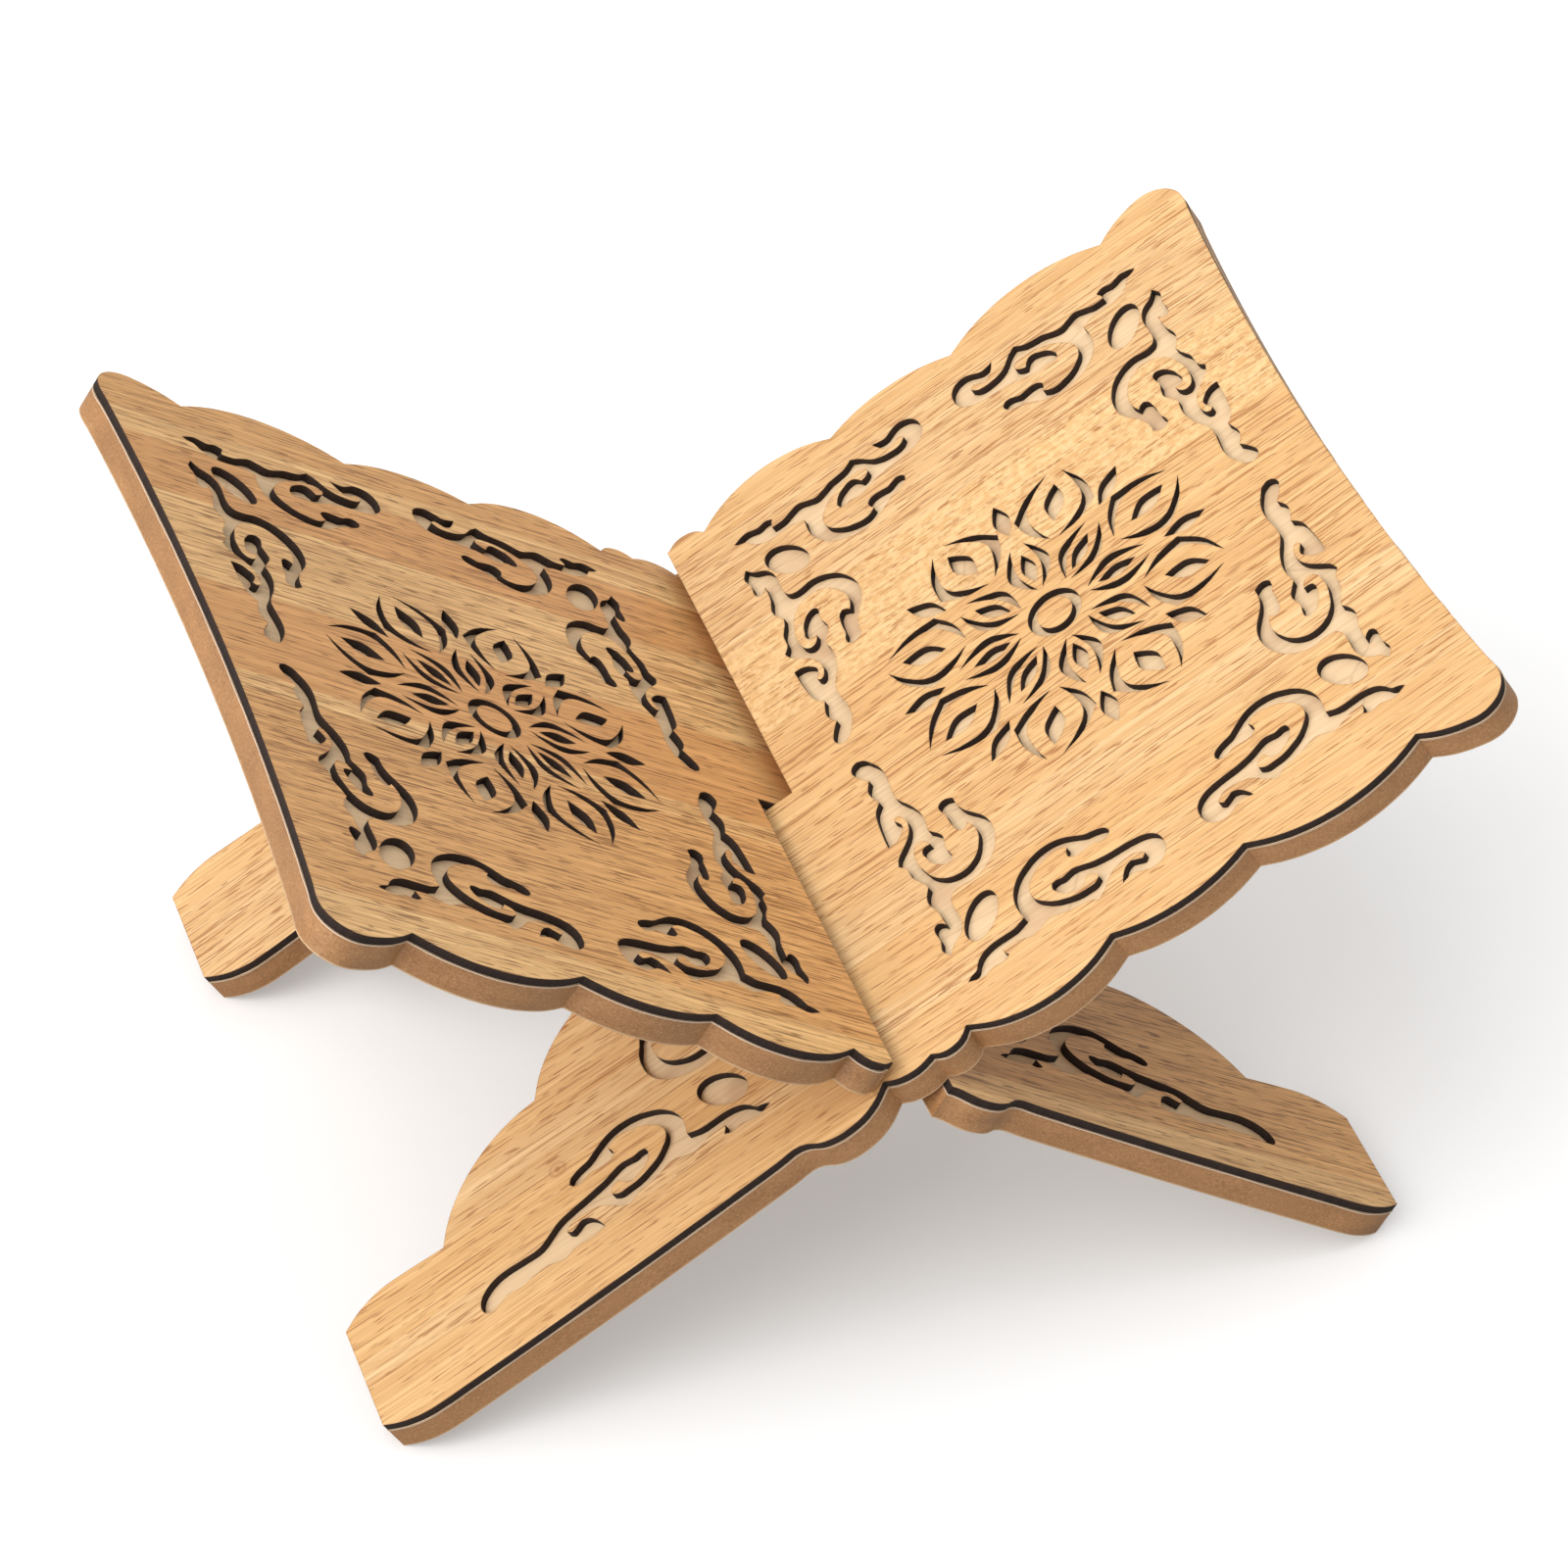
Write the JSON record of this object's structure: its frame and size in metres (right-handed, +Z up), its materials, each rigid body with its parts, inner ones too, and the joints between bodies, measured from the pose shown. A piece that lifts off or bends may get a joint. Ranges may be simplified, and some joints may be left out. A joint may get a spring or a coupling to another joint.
{
  "type": "bible stand",
  "caption": "Folding bible stand of X shape: slotted laminated boards with pierced scrollwork cross, turn in each other's slots and hold an open book.",
  "frame": {"origin": "on the floor under the crossing of the boards, at the middle of the hinge line", "axes": "+X towards the right board's panel, +Y along the hinge line away from the viewer, +Z up"},
  "size_m": [0.3616, 0.274, 0.2153],
  "materials": {
    "oak_face": "satin golden oak grain, cut edges burnt dark",
    "pale_skin": "matt pale wood",
    "fibreboard": "matt brown fibreboard",
    "rear_skin": "matt brown wood"
  },
  "bodies": {
    "right_board": {"right_face_sheet": "oak_face", "right_boss": "oak_face", "right_pale_skin": "pale_skin", "right_core": "fibreboard", "right_rear_skin": "rear_skin"},
    "left_board": {"left_face_sheet": "oak_face", "left_boss": "oak_face", "left_pale_skin": "pale_skin", "left_core": "fibreboard", "left_rear_skin": "rear_skin"}
  },
  "joints": [
    {"name": "crossing_hinge", "type": "hinge", "parent": "right_board", "child": "left_board", "pos_m": [0, 0, 0.10146], "axis": [0, 1, 0], "range_deg": [0, 54]}
  ]
}
